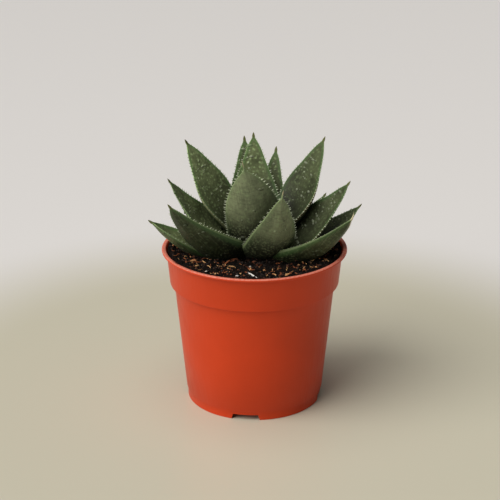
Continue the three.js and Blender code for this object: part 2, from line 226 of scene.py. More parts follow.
# A blade's form, in shares of its length and width: how it narrows to its tip and to its root, how
# thick it is, the channel along its upper face, and the keel that its round underside turns to.
NARROWING = Values(power=2.3, blunt_power=5, low=1.2, high=0.95, blunt=0.4, span=(0.7, 0.95))
NECK = Values(root=0.8, end=0.3, slim_root=0.5, slim_end=0.35)
THICK = Values(share=0.19, power=2.4, sharpness=0.9, root_share=0.5, root_end=0.35)
CHANNEL = Values(share=0.1, span=(0.2, 0.95), fold_end=0.45)
KEEL = Values(root=0.15, tip=0.8, span=(0.25, 0.9), rounding=0.004)
ROOT_SHADE = Values(root=0.1, tip=1.5, span=(0.18, 0.8))  # painted shade at the root and painted light at the tip, along a leaf's length

# Teeth: where they start and end along a margin, how much of it they cover, and in mm half a full
# one's width at its root and point, and how far it is sunk in and set back. Then how flat it is,
# how far it leans to the tip, and how they grow with the blade's half width.
TEETH = Values(
    start=0.09, end=0.985, cover=0.9, root=0.5, point=0.05, sunk=0.3, inset=0.25, sides=6,
    flat=0.62, lean=0.45, least=0.35, full_half=9, young=0.6,
)

# Rows of bumps: whether they are on the upper face, where they start and end along the leaf, how
# far apart they are in mm, and how pale. Then what each row and bump draws its own values from.
BUMP_ROWS = ((True, 0.14, 0.95, 3.0, 1.0), (False, 0.1, 0.8, 7.0, 0.3))
BUMPS = Values(
    cover=0.86, in_row=(2, 3, 4), apart=(1.6, 4.4), missing=0.25, start=0.08, end=0.97,
    sizes=(0.7, 1.45), stretch=(1.0, 1.3, 1.7, 2.3), pale=(0.15, 0.55), sunk=0.25, low=0.5,
)

# One leaf a row, innermost first: where it points, its pitch at the root, how much steeper it is
# at the tip, its length and its width. Then what not every leaf has: its roll about its midrib,
# its bend to its left, how blunt it is, how slim its lower half is, how far it is folded along its
# midrib, half its width at the tip, its spike, how far that hooks up, and how high its root is.
# The last ones are for its skin: how olive it is, its painted light and shade, how much its left
# half is painted lighter (lean), how much its root is painted darker and its tip lighter, how pale
# its bumps and how large its teeth are, how dry its left margin is, or its right one below 0, and
# how dry its tip is.
LEAF_COLUMNS = ("azimuth", "rise", "curl", "length", "width")
LEAVES = [
    # the young heart
    (10, 72, 14, 20, 12, dict(blunt=0.6)),
    (145, 70, 16, 23, 15, dict(blunt=0.6)),
    (282, 68, 18, 26, 18, dict(blunt=0.6)),
    (60, 66, 20, 29, 21, dict(blunt=0.6)),
    (205, 62, 22, 33, 25, dict(blunt=0.6)),
    (318, 58, 26, 34, 28, dict(blunt=0.6)),
    # the upright inner leaves
    (94, 54, 18, 70, 37, dict(bumps=1, tone=1.25, lean=0.4, deep=1)),
    (150, 49, 17, 77.5, 39, dict(bend=13, roll=-8, blunt=0.15, slim=1, dry=0.35, tone=2.2,
     lean=0.4, deep=1)),
    (29, 49, 19, 77.5, 39.5, dict(bend=-6, roll=8, blunt=0.12, slim=1, bumps=0.65, dry=-1,
     tone=0.67, deep=1)),
    (269, 50, 32, 70, 36, dict(bend=-13, blunt=0.8, tip=0.6, spike=6, olive=1, teeth=1.2,
     bumps=0.3, tone=0.88, lean=-0.5, deep=0.8)),
    # the middle leaves
    (99, 36, 26, 75, 34, dict(bumps=1)),
    (357, 26, 29, 68, 37, dict(roll=28, bumps=0.5, dry=-0.6, tone=0.59)),
    (184, 30, 26, 68, 39, dict(roll=-18, bumps=0.5, teeth=1.1, tone=1.5, deep=0.1)),
    (75, 38, 28, 67, 27, dict(bumps=1)),
    (288, 34, 34, 65, 35, dict(blunt=0.1, tip=0.6, spike=6, olive=1, teeth=1.1, bumps=0.3,
     tone=1.38, lean=0.5, deep=0.2)),
    (142, 2, 36, 45, 30, dict()),
    # the spreading outer leaves
    (0, 6, 42, 66.2, 35.5, dict(roll=8, blunt=0.35, bumps=0.8, tone=0.75)),
    (212, 18, 36, 71, 38, dict(roll=30, blunt=0.05, teeth=1.3, bumps=0.4, dry=-0.6, tone=0.46,
     deep=0.3)),
    (112, 2, 40, 62, 32, dict()),
    (331, 7, 45, 68.7, 38, dict(roll=-20, blunt=0.1, tip=0.75, spike=4.5, hook=2.2, olive=0.1,
     dry_tip=1, tone=0.95, deep=0)),
    (190, 18, 14, 66.8, 26, dict(roll=-3, blunt=0.6, fold=0.45, root_z=96.3, bumps=0.5, tone=1.32,
     lean=-0.8)),
    (46, 4, 36, 62, 30, dict()),
]
PLAIN_LEAF = dict(
    roll=0, bend=0, blunt=0, slim=0, fold=0, tip=0.95, spike=2.5, hook=0, olive=0, bumps=0.6,
    teeth=0.95, tone=1, lean=0, deep=0.6, dry=0, dry_tip=0,
)

# The camera, in mm and degrees: what it looks at, from how far and how high.
CAMERA = Values(aim=(-2.9, 0, 100.7), distance=973, elevation=20.6, lens=108, sensor=36)

FLOOR_R = 6  # in m

# The two soft lights, in degrees: where each stands, how large it looks from the object, and how
# strong it is beside the key light.
LIGHTS = dict(
    key=Values(azimuth=214, elevation=40, angle=56, share=1),
    top=Values(azimuth=205, elevation=76, angle=60, share=0.48),
)


def linear(text):
    """An sRGB hex colour as linear red, green and blue."""
    parts = [int(text[i : i + 2], 16) / 255 for i in (1, 3, 5)]
    return tuple(c / 12.92 if c <= 0.04045 else ((c + 0.055) / 1.055) ** 2.4 for c in parts)


def shaded(colour, share):
    """A colour made darker or lighter."""
    return tuple(c * share for c in colour)


def lerp(a, b, t):
    return a + (b - a) * t


def smoothstep(x, low, high):
    t = min(1.0, max(0.0, (x - low) / (high - low)))
    return t * t * (3 - 2 * t)


# The settings that a user would change.


class PotSettings(PropertyGroup):
    edge: FloatProperty(
        name="Edge Radius", description="Radius of the mould's rounded edges",
        default=0.25 * MM, min=0.0, max=1.0 * MM, unit="LENGTH",
    )
    colour: FloatVectorProperty(
        name="Plastic", description="Colour of the moulded plastic",
        default=linear("#ce4018"), subtype="COLOR",
    )


class SoilSettings(PropertyGroup):
    clods: FloatProperty(
        name="Clod Height", description="Height of the small clods on the soil",
        default=1.5 * MM, min=0.0, max=3.0 * MM, unit="LENGTH",
    )
    crumbs: IntProperty(
        name="Crumbs", description="Number of peat crumbs on the soil",
        default=1400, min=0, max=2000,
    )
    slivers: IntProperty(
        name="Slivers", description="Number of straight bark and coir slivers on the soil",
        default=560, min=0, max=2000,
    )
    curls: IntProperty(
        name="Curls", description="Number of curled fibres on the soil",
        default=130, min=0, max=300,
    )
    colour: FloatVectorProperty(
        name="Peat", description="Colour of the damp peat",
        default=linear("#22160f"), subtype="COLOR",
    )


class LeafSettings(PropertyGroup):
    tooth: FloatProperty(
        name="Tooth Length", description="How far a tooth stands out of the margin",
        default=1.2 * MM, min=0.0, max=3.0 * MM, unit="LENGTH",
    )
    tooth_spacing: FloatProperty(
        name="Tooth Spacing", description="Distance between teeth along the margin",
        default=1.9 * MM, min=1.0 * MM, max=10.0 * MM, unit="LENGTH",
    )
    bump: FloatProperty(
        name="Bump Radius", description="Radius of the pale bumps on the upper face",
        default=0.88 * MM, min=0.1 * MM, max=1.5 * MM, unit="LENGTH",
    )
    inner: FloatVectorProperty(
        name="Upper Face", description="Colour of the upper, inner face",
        default=linear("#484f35"), subtype="COLOR",
    )
    outer: FloatVectorProperty(
        name="Underside", description="Colour of the outer face",
        default=linear("#414b2c"), subtype="COLOR",
    )
    olive: FloatVectorProperty(
        name="Old Skin", description="Olive colour of the leaves that face the light",
        default=linear("#5f664b"), subtype="COLOR",
    )
    margin: FloatVectorProperty(
        name="Margin", description="Colour of the horny margin",
        default=linear("#7f9164"), subtype="COLOR",
    )
    fresh: FloatVectorProperty(
        name="Fresh Edge", description="Colour of the green band inside the margin",
        default=linear("#4a683a"), subtype="COLOR",
    )
    pale: FloatVectorProperty(
        name="Teeth and Bumps", description="Colour of the teeth and of the bumps",
        default=linear("#c3ccb0"), subtype="COLOR",
    )


class StageSettings(PropertyGroup):
    near: FloatVectorProperty(
        name="Floor", description="Colour of the floor round the pot",
        default=linear("#ccc8b5"), subtype="COLOR",
    )
    far: FloatVectorProperty(
        name="Far Floor", description="Colour of the floor in the distance",
        default=linear("#eae8e7"), subtype="COLOR",
    )
    key: FloatProperty(
        name="Key Light", description="Strength of the large soft light at the left, in W/m2",
        default=2.45, min=0.0,
    )
    ambient: FloatProperty(
        name="Ambient Light", description="Brightness of the white room round the object",
        default=0.09, min=0.0,
    )


# Small helpers for meshes.


def finish_mesh(bm, name, materials, sharp_deg=180.0):
    """Turns a bmesh into a smooth-shaded object at the origin."""
    mesh = bpy.data.meshes.new(name)
    bm.to_mesh(mesh)
    bm.free()
    mesh.shade_smooth()
    if sharp_deg < 180.0:
        mesh.set_sharp_from_angle(angle=radians(sharp_deg))
    for material in materials:
        mesh.materials.append(material)
    piece = bpy.data.objects.new(name, mesh)
    bpy.context.scene.collection.objects.link(piece)
    return piece


def keep_modifiers(piece):
    """Puts what a piece's modifiers make into its mesh, and takes them off."""
    graph = bpy.context.evaluated_depsgraph_get()
    made = bpy.data.meshes.new_from_object(piece.evaluated_get(graph))
    old = piece.data
    piece.modifiers.clear()
    piece.data = made
    made.name = old.name
    bpy.data.meshes.remove(old)


def spun(profile, steps):
    """A closed solid of revolution about Z from [radius, height] points in mm."""
    bm = bmesh.new()
    points = [bm.verts.new((r * MM, 0, z * MM)) for r, z in profile]
    edges = [bm.edges.new(pair) for pair in zip(points, points[1:])]
    bmesh.ops.spin(
        bm, geom=points + edges, cent=(0, 0, 0), axis=(0, 0, 1), angle=tau, steps=steps,
        use_merge=True,
    )
    bmesh.ops.remove_doubles(bm, verts=bm.verts, dist=1e-6)
    bmesh.ops.recalc_face_normals(bm, faces=bm.faces)
    return bm


def placed(spot, direction, sideways):
    """A placement at a spot in mm that takes +Z to direction and +X close to sideways."""
    z = direction.normalized()
    y = z.cross(sideways).normalized()
    return Matrix.Translation(spot * MM) @ Matrix((y.cross(z), y, z)).transposed().to_4x4()


def per_mm(size):
    """The scale of a pattern in object space whose features are this large in mm."""
    return 1.0 / (size * MM)


# Kinds of shader node, each with its settings.
ATTRIBUTE = ("Attribute", {})
PLACE = ("TexCoord", {})
PARTS = ("SeparateXYZ", {})
JOIN = ("CombineXYZ", {})
LENGTH = ("VectorMath", {"operation": "LENGTH"})
TIMES_ALL = ("VectorMath", {"operation": "SCALE"})
STRETCH = ("Mapping", {})
NOISE = ("TexNoise", {})
CELLS = ("TexVoronoi", {})
FLAT_CELLS = ("TexVoronoi", {"voronoi_dimensions": "2D"})
BUMP = ("Bump", {})
MIX = ("Mix", {"data_type": "RGBA"})
RAMP = ("MapRange", {"interpolation_type": "SMOOTHSTEP"})
TIMES = ("Math", {"operation": "MULTIPLY"})
PLUS = ("Math", {"operation": "ADD"})
MINUS = ("Math", {"operation": "SUBTRACT"})
LARGER = ("Math", {"operation": "MAXIMUM"})
SIGN = ("Math", {"operation": "SIGN"})
SHADER = ("BsdfPrincipled", {})


def add_node(tree, kind, *values, out=None, **named):
    """Adds a shader node and returns its first output, or the one that out names. The values and
    links go to its inputs in their order, and the named ones to inputs or settings."""
    name, settings = kind
    node = tree.nodes.new("ShaderNode" + name)
    for key, value in settings.items():
        setattr(node, key, value)
    pairs = list(zip([socket for socket in node.inputs if socket.enabled], values))
    for key, value in named.items():
        if key in node.inputs:
            pairs.append((node.inputs[key], value))
        else:
            setattr(node, key, value)
    for socket, value in pairs:
        if isinstance(value, bpy.types.NodeSocket):
            tree.links.new(value, socket)
        else:
            socket.default_value = (*value, 1.0) if socket.type == "RGBA" else value
    return node.outputs[out] if out else [end for end in node.outputs if end.enabled][0]


def new_material(name):
    """A node material, what adds nodes to it, and its Object coordinates."""
    material = bpy.data.materials.new(name)
    material.use_nodes = True
    material.node_tree.nodes.clear()
    add = partial(add_node, material.node_tree)
    return material, add, add(PLACE, out="Object")


def finished(material, add, **inputs):
    """The material with its shader, whose inputs are plain or linked where they vary."""
    shader = add(SHADER, **{name.replace("_", " "): value for name, value in inputs.items()})
    tree = material.node_tree
    tree.links.new(shader, tree.nodes.new("ShaderNodeOutputMaterial").inputs[0])
    return material


# Materials.


def polypropylene(colour):
    """Injection-moulded polypropylene, satin: faintly cloudy from its flow into the mould, with
    fine upright scuffs, and painted paler along the top of the lip, partly as rubbed wear and partly
    as a painted highlight."""
    material, add, where = new_material("moulded_polypropylene")
    cloud = add(NOISE, where, per_mm(36), 3.0)
    flow = add(RAMP, cloud, 0.3, 0.7)
    base = add(MIX, flow, shaded(colour, 0.96), shaded(colour, 1.04))
    upright = add(STRETCH, where, Scale=(per_mm(1.4), per_mm(1.4), per_mm(17)))
    scuff = add(NOISE, upright, 1.0, 4.0)
    height = add(PARTS, where, out="Z")
    # the top of the lip painted paler: partly rubbed wear, partly a painted highlight
    lip = add(RAMP, height, (POT_H - 0.8) * MM, (POT_H - 0.1) * MM)
    rub_and_highlight = add(TIMES, lip, add(RAMP, scuff, 0.3, 0.6, 0.3, 0.85))
    base = add(MIX, rub_and_highlight, base, linear("#e3907c"))
    rough = add(RAMP, scuff, 0.35, 0.7, 0.36, 0.46)
    # the mould's grain, drawn a few times coarser than it is, so that it shows
    grain = add(NOISE, where, per_mm(0.62), 2.0)
    normal = add(BUMP, Strength=0.12, Distance=0.1 * MM, Height=grain)
    return finished(
        material, add, Base_Color=base, Roughness=rough, Normal=normal, IOR=1.49,
        Specular_IOR_Level=0.22,
    )


def peat(colour):
    """Damp peat, fully matt: black crumbs with brown fibre in them, and drier brown patches."""
    material, add, where = new_material("damp_peat")
    crumbs = add(CELLS, where, per_mm(1.9))
    specks = add(NOISE, where, per_mm(1.1), 5.0)
    patches = add(NOISE, where, per_mm(11), 3.0)
    fibre = add(RAMP, specks, 0.48, 0.7)
    fine = add(MIX, fibre, shaded(colour, 0.08), colour)
    dry = add(RAMP, patches, 0.52, 0.74, 0.0, 0.3)
    base = add(MIX, dry, fine, shaded(colour, 2.0))
    height = add(PLUS, crumbs, specks)
    normal = add(BUMP, Strength=0.8, Distance=0.5 * MM, Height=height)
    return finished(
        material, add, Base_Color=base, Normal=normal, Roughness=0.95, Specular_IOR_Level=0.15
    )


def bark_and_coir():
    """Bark chips and coir in potting soil, dry and matt: dark brown through rust to tan by each
    bit's tint, which holds painted shade under the leaves, the last ones bleached white, with darker
    grain along them."""
    material, add, where = new_material("bark_and_coir")
    tint_and_shade = add(ATTRIBUTE, attribute_name="tint_and_shade", out="Fac")
    grain = add(NOISE, where, per_mm(0.7), 3.0)
    dark = linear("#130c08")
    rust = add(MIX, add(RAMP, tint_and_shade, 0.0, 0.45), dark, linear("#8e4c25"))
    tan = add(MIX, add(RAMP, tint_and_shade, 0.45, 0.8), rust, linear("#dcab72"))
    bleached = add(MIX, add(RAMP, tint_and_shade, 0.85, 1.0), tan, linear("#fbf9f4"))
    streak = add(RAMP, grain, 0.55, 0.75, 0.0, 0.25)
    base = add(MIX, streak, bleached, linear("#7b634b"))
    return finished(material, add, Base_Color=base, Roughness=0.85)


def leaf_skin(settings):
    """Waxy succulent skin, satin: clouded green with light and dark mottle, pale blotches on the
    upper face, faint growth lines and warts on the outer one, with painted light on the warts' tops
    and painted shade in their gaps, a fresh green band inside the horny margin, and a dry point.
    Over it lie each leaf's painted light and shade, and a root painted dark, mostly as shade."""
    material, add, where = new_material("waxy_leaf_skin")
    read = Values(
        **{name: add(ATTRIBUTE, attribute_name=name, out="Fac") for name in LEAF_LAYERS}
    )
    clouds = add(NOISE, where, per_mm(11), 4.0)
    mottle = add(NOISE, where, per_mm(1.9), 5.0)
    warts = add(CELLS, where, per_mm(1.6))
    # the run along a leaf and the span across it are in mm, and so are these patterns' sizes
    spread = add(JOIN, read.span, read.run)
    lengthwise = add(STRETCH, spread, Scale=(1 / 0.7, 1 / 14, 1))
    streaks = add(NOISE, lengthwise, 1.0, 4.0)
    bowed = add(TIMES, add(TIMES, read.span, read.span), -0.018)
    bowed = add(JOIN, read.span, add(PLUS, read.run, bowed))
    crosswise = add(STRETCH, bowed, Scale=(1 / 16, 1 / 1.1, 1))
    bands = add(NOISE, crosswise, 1.0, 3.0)

    # the two faces, each clouded
    cloud = add(RAMP, clouds, 0.36, 0.64)
    upper = add(MIX, cloud, shaded(settings.inner, 0.75), shaded(settings.inner, 1.3))
    young = add(MIX, cloud, shaded(settings.outer, 0.78), shaded(settings.outer, 1.25))
    aged = add(MIX, cloud, shaded(settings.olive, 0.8), shaded(settings.olive, 1.2))
    # painted shade: olive skin turns greener where the leaf's painted light is low
    shade_greening = add(RAMP, read.tone, 1.25, 0.6, 0.0, 0.5)
    aged = add(MIX, shade_greening, aged, shaded(settings.inner, 1.3))
    under = add(MIX, read.olive, young, aged)
    light = shaded(settings.olive, 1.5)
    for pattern, low, high, share, colour in (
        (streaks, 0.48, 0.68, 0.4, light),
        (bands, 0.52, 0.66, 0.2, light),
        (bands, 0.48, 0.34, 0.24, shaded(settings.olive, 0.5)),
    ):
        under = add(MIX, add(RAMP, pattern, low, high, 0.0, share), under, colour)
    skin = add(MIX, add(RAMP, read.face, -0.3, 0.3), under, upper)

    # where a face is warty, and where it is blotched
    warty = add(TIMES, add(RAMP, read.share, 0.56, 0.3), add(RAMP, read.face, 0.0, -0.4))
    blotch = add(RAMP, add(FLAT_CELLS, spread, 1 / 2.8), 0.34, 0.1)
    chosen = add(RAMP, add(FLAT_CELLS, spread, 1 / 2.8, out="Color"), 0.4, 0.7)
    for share in (chosen, read.bumps, add(RAMP, read.face, 0.1, 0.5, 0.0, 0.7)):
        blotch = add(TIMES, blotch, share)
    for share, colour in (
        # fine light and dark mottle
        (add(RAMP, mottle, 0.52, 0.68, 0.0, 0.45), shaded(settings.margin, 0.8)),
        (add(RAMP, mottle, 0.46, 0.32, 0.0, 0.35), shaded(settings.inner, 0.45)),
        # the warts low on an outer face, painted light on their tops and painted shade in the gaps
        # between them
        (add(TIMES, warty, add(RAMP, warts, 0.32, 0.1, 0.0, 0.4)), light),
        (add(TIMES, warty, add(RAMP, warts, 0.34, 0.52, 0.0, 0.8)), linear("#11140a")),
        # soft pale blotches between the bumps of an upper face
        (blotch, settings.margin),
    ):
        skin = add(MIX, share, skin, colour)

    # each leaf's painted light and shade, which its margin follows only in part
    skin = add(TIMES_ALL, skin, read.tone)
    tone = add(PLUS, add(TIMES, read.tone, 0.6), 0.4)
    fresh, horn, dry_horn = [
        add(TIMES_ALL, colour, tone)
        for colour in (settings.fresh, settings.margin, linear("#b0a684"))
    ]

    # where a margin is dry, low down on some leaves, and where a tip has died
    withered = add(TIMES, read.dry, add(SIGN, read.span))
    for share in (add(RAMP, read.share, 0.7, 0.45), add(RAMP, read.edge, 0.6, 0.3)):
        withered = add(TIMES, withered, share)
    dying = add(RAMP, read.edge, 1.9, 0.8)
    for share in (add(RAMP, read.span, 0.0, 0.5), add(RAMP, read.share, 0.6, 0.75)):
        dying = add(TIMES, dying, share)
    dying = add(LARGER, dying, add(RAMP, read.share, 0.92, 0.945))

    band = add(TIMES, add(RAMP, read.edge, 3.0, 0.6), add(RAMP, read.olive, 0.5, 1.0, 0.6, 0.15))
    for share, colour in (
        # the fresh green band inside the margin
        (band, fresh),
        # the root painted dark: mostly as the shade in the hollow of the rosette, partly as its own
        # darker base
        (add(RAMP, read.share, 0.32, 0.05, 0.0, 0.85), linear("#14180a")),
        # the horny margin, fresh and dry
        (add(RAMP, read.edge, 0.45, 0.12, 0.0, 0.75), horn),
        (add(LARGER, withered, 0.0), dry_horn),
        # the point: green-brown on a green leaf, tan on an olive one, bleached where it has died
        (
            add(RAMP, read.share, 0.925, 0.975),
            add(MIX, read.olive, linear("#5f6238"), linear("#a89e7c")),
        ),
        (add(TIMES, dying, read.dry_tip), linear("#cbbf9c")),
        # the teeth and bumps
        (read.pale, settings.pale),
    ):
        skin = add(MIX, share, skin, colour)

    rough = add(RAMP, mottle, 0.3, 0.7, 0.42, 0.6)
    # the relief, which sinks round the warts
    relief = add(PLUS, mottle, add(TIMES, add(PLUS, streaks, bands), 0.6))
    relief = add(MINUS, relief, add(TIMES, add(TIMES, warty, warts), 1.6))
    normal = add(BUMP, Strength=0.5, Distance=0.3 * MM, Height=relief)
    return finished(
        material, add, Base_Color=skin, Roughness=rough, Normal=normal, IOR=1.38,
        Specular_IOR_Level=0.3, Sheen_Weight=0.04, Sheen_Roughness=0.4,
        Sheen_Tint=linear("#c9d2b4"),
    )


def stem_tissue():
    """The stem's soft green tissue, matt, clouded in a paler and a darker green."""
    material, add, where = new_material("stem_tissue")
    clouds = add(RAMP, add(NOISE, where, per_mm(3.3), 4.0), 0.35, 0.65)
    base = add(MIX, clouds, linear("#5b5f3a"), linear("#83855a"))
    return finished(material, add, Base_Color=base, Roughness=0.6)


def floor_paint(near, far):
    """Satin floor paint that mirrors the pot a little, warm round it and greyer far away."""
    material, add, where = new_material("satin_floor_paint")
    away = add(RAMP, add(LENGTH, where), 190 * MM, 340 * MM)
    base = add(MIX, away, near, far)
    return finished(material, add, Base_Color=base, Roughness=0.34, Specular_IOR_Level=0.35)


# The pot.


def pot_profile():
    """The pot's section from the axis, down the outside of the foot ring and back inside."""
    inner_foot = FOOT.r - FOOT.wall
    lip_z = POT_H - LIP.drop
    lip_in = RIM_R - LIP.width
    roll_r = RIM_R - LIP.roll
    half = LIP.drop / 2
    rolled = [
        (roll_r + LIP.roll * cos(a), lip_z + half + half * sin(a))
        for a in [radians(d) for d in range(-90, 91, 15)]
    ]
    middle_r = lerp(POT_BODY.bottom_r, POT_BODY.top_r, 0.5)
    middle_z = lerp(POT_BODY.bottom_z, COLLAR.bottom_z - COLLAR.step, 0.5)
    return [
        (0, FOOT.floor_z),
        (inner_foot, FOOT.floor_z),
        (inner_foot, 0),
        (FOOT.r - FOOT.edge, 0),
        (FOOT.r, FOOT.edge),
        (FOOT.r, FOOT.step_z),
        (POT_BODY.bottom_r, POT_BODY.bottom_z),
        (middle_r, middle_z),
        (POT_BODY.top_r, COLLAR.bottom_z - COLLAR.step),
        (COLLAR.bottom_r - COLLAR.round, COLLAR.bottom_z),
        (COLLAR.bottom_r - COLLAR.round / 4, COLLAR.bottom_z + COLLAR.round / 4),
        (COLLAR.bottom_r, COLLAR.bottom_z + COLLAR.round),
        (COLLAR.top_r, lip_z),
        *rolled,
        (lip_in, POT_H),
        (lip_in - LIP.round * 0.6, POT_H - LIP.round * 0.3),
        (lip_in - LIP.round, POT_H - LIP.round),
        (COLLAR.top_r - WALL, POT_H - LIP.flare),
        (COLLAR.bottom_r - WALL, COLLAR.bottom_z + COLLAR.round),
        (POT_BODY.top_r - WALL, COLLAR.bottom_z - WALL),
        (POT_BODY.bottom_r - WALL, POT_BODY.bottom_z),
        (POT_BODY.bottom_r - WALL - FOOT.cove, FLOOR_TOP),
        (0, FLOOR_TOP),
    ]


def pot_cutters():
    """The notches in the foot ring and the drainage holes, as one mesh of separate solids."""
    bm = bmesh.new()
    for k in range(NOTCH.count):
        turn = radians(NOTCH.first_deg + 360 / NOTCH.count * k)
        place = Matrix.Rotation(turn, 4, "Z") @ Matrix.Translation((FOOT.r * MM, 0, 0))
        size = Matrix.Diagonal((NOTCH.depth * MM, NOTCH.width * MM, NOTCH.height * 2 * MM, 1))
        cube = bmesh.ops.create_cube(bm, size=1.0)["verts"]
        for vert in cube:
            if vert.co.z < 0:
                vert.co.y *= 1 + 4 * NOTCH.taper / NOTCH.width
        bmesh.ops.transform(bm, matrix=place @ size, verts=cube)
    for k in range(DRAIN.count):
        turn = radians(NOTCH.first_deg + DRAIN.turn_deg + 360 / DRAIN.count * k)
        centre = Vector((cos(turn), sin(turn), 0)) * DRAIN.ring
        centre.z = FOOT.floor_z
        bmesh.ops.create_cone(
            bm, cap_ends=True, segments=32, radius1=DRAIN.r * MM, radius2=DRAIN.r * MM,
            depth=DRAIN.depth * MM, matrix=Matrix.Translation(centre * MM),
        )
    return bm


class BuildPot(Operator):
    """Builds the moulded pot with its rolled lip, collar, foot ring and notches"""

    bl_idname = "succulent.pot"
    bl_label = "Pot"

    def execute(self, context):
        settings = context.scene.succulent_pot
        cutters = finish_mesh(pot_cutters(), "pot_cutters", [])
        pot = finish_mesh(spun(pot_profile(), POT_STEPS), "moulded_pot", [])
        cut = pot.modifiers.new("notches", "BOOLEAN")
        cut.operation = "DIFFERENCE"
        cut.solver = "EXACT"
        cut.object = cutters
        edges = pot.modifiers.new("edges", "BEVEL")
        edges.width = settings.edge
        edges.segments = 2
        edges.limit_method = "ANGLE"
        edges.angle_limit = radians(50)
        keep_modifiers(pot)
        bpy.data.meshes.remove(cutters.data)
        pot.data.shade_smooth()
        pot.data.set_sharp_from_angle(angle=radians(40))
        pot.data.materials.clear()
        pot.data.materials.append(polypropylene(settings.colour))
        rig.ride(pot, BODY)
        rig.replaces(pot, "pot")
        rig.slot(pot, "pot_plastic")
        return {"FINISHED"}


# The soil.


def soil_height(x, y):
    """The soil's plain surface, in mm: the solid's low waves, and swept up against the wall."""
    share = min(1.0, hypot(x, y) / (COLLAR.top_r - WALL))
    lumps = (
        sin(x * 0.61 + 1.3) * sin(y * 0.53 + 0.4) * 0.5
        + sin(x * 0.97 - y * 0.71 + 2.1) * 0.3
        + sin(x * 0.33 + y * 1.21) * 0.3
    )
    swept = SOIL_SWEPT * smoothstep(share, 0.8, 1.0)
    return SOIL_Z + SOIL_MOUND * (1 - share * share) + SOIL_LUMP * lumps + swept


def clod(x, y, height):
    """Small clods on top of the plain surface, in mm, with dark hollows between them."""
    spot = Vector((x, y, 3.7))
    # about 6, 3 and 1 mm across
    coarse = noise.noise(spot * 0.16) * 0.8
    middle = (0.45 - abs(noise.noise(spot * 0.36))) * 0.9
    fine = noise.noise(spot * 0.8) * 0.55
    return height * (coarse + middle + fine)


def soil_top(x, y, clods):
    return soil_height(x, y) + clod(x, y, clods)


def resting(x, y, clods, lift=0.0):
    """Where a loose bit lies, in mm, lifted off the soil or the top of the lip."""
    on_lip = hypot(x, y) > RIM_R - LIP.width
    return Vector((x, y, (POT_H if on_lip else soil_top(x, y, clods)) + lift))


def leaf_shade_factor(x, y):
    """How pale the litter is: darker under the leaves, as painted shade."""
    away = hypot(x - PLANT_X, y)
    return lerp(LEAF_SHADE.share, 1.0, smoothstep(away, LEAF_SHADE.start, LEAF_SHADE.end))


def fill_pot(settings, clods):
    """The peat, as one solid whose top has the clods."""
    wall_r = lerp(COLLAR.bottom_r, COLLAR.top_r, 0.9) - WALL - CLEARANCE
    top_r = COLLAR.top_r - WALL + CLEARANCE
    base_z = FLOOR_TOP + CLEARANCE
    rings = [top_r * k / SOIL_RINGS for k in range(SOIL_RINGS + 1)]
    profile = [
        (0, base_z),
        (POT_BODY.bottom_r - WALL - SOIL_CORNER - CLEARANCE, base_z),
        (POT_BODY.bottom_r - WALL - CLEARANCE, POT_BODY.bottom_z + CLEARANCE),
        (POT_BODY.top_r - WALL - CLEARANCE, COLLAR.bottom_z - WALL + CLEARANCE),
        (COLLAR.bottom_r - WALL - CLEARANCE, COLLAR.bottom_z + WALL),
        (wall_r, SOIL_Z - SOIL_EDGE),
        *[(r, SOIL_Z) for r in reversed(rings)],
    ]
    bm = spun(profile, SOIL_STEPS)
    for vert in bm.verts:
        if vert.co.z > (SOIL_Z - 0.1) * MM:
            vert.co.z = soil_top(vert.co.x / MM, vert.co.y / MM, clods) * MM
    soil = finish_mesh(bm, "peat_fill", [peat(settings.colour)])
    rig.ride(soil, BODY)
    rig.replaces(soil, "soil")
    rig.slot(soil, "peat")


def add_chip(bm, tint_and_shade, centre, lie, shape, bend, shade):
    """A crumb, chip or thin bent sliver from one small ball. It lies by heading and tilt."""
    heading, tilt = lie
    along = Vector((cos(heading), sin(heading), tilt))
    made = bmesh.ops.create_icosphere(
        bm, subdivisions=1, radius=1.0, matrix=Matrix.Diagonal((*[n * MM for n in shape], 1))
    )["verts"]
    for vert in made:
        share = vert.co.z / (shape[2] * MM)
        vert.co.x += bend * (1 - share * share) * MM
        vert[tint_and_shade] = shade
    place = placed(centre, along, Vector((0, 0, 1)))
    bmesh.ops.transform(bm, matrix=place, verts=made)


def add_curl(bm, tint_and_shade, centre, draw, bow, sweep, thick, shade):
    """A curled fibre: a small disc that is spun part of the way round."""
    fibre = bmesh.new()
    layer = fibre.verts.layers.float.new("tint_and_shade")
    upright = Matrix.Rotation(pi / 2, 4, "X")
    bmesh.ops.create_circle(
        fibre, cap_ends=True, segments=5, radius=thick * MM,
        matrix=Matrix.Translation((bow * MM, 0, 0)) @ upright,
    )
    bmesh.ops.spin(
        fibre, geom=fibre.faces[:], cent=(0, 0, 0), axis=(0, 0, 1), angle=radians(sweep),
        steps=7,
    )
    bmesh.ops.recalc_face_normals(fibre, faces=fibre.faces)
    turn = Matrix.Rotation(draw.uniform(0, tau), 4, "Z")
    lean = Matrix.Rotation(draw.uniform(-0.7, 0.7), 4, "X")
    set_back = Matrix.Translation((-bow * 0.5 * MM, 0, 0))
    place = Matrix.Translation(centre * MM) @ turn @ lean @ set_back
    bmesh.ops.transform(fibre, matrix=place, verts=fibre.verts)
    for vert in fibre.verts:
        vert[layer] = shade
    mesh = bpy.data.meshes.new("fibre")
    fibre.to_mesh(mesh)
    fibre.free()
    bm.from_mesh(mesh)
    bpy.data.meshes.remove(mesh)


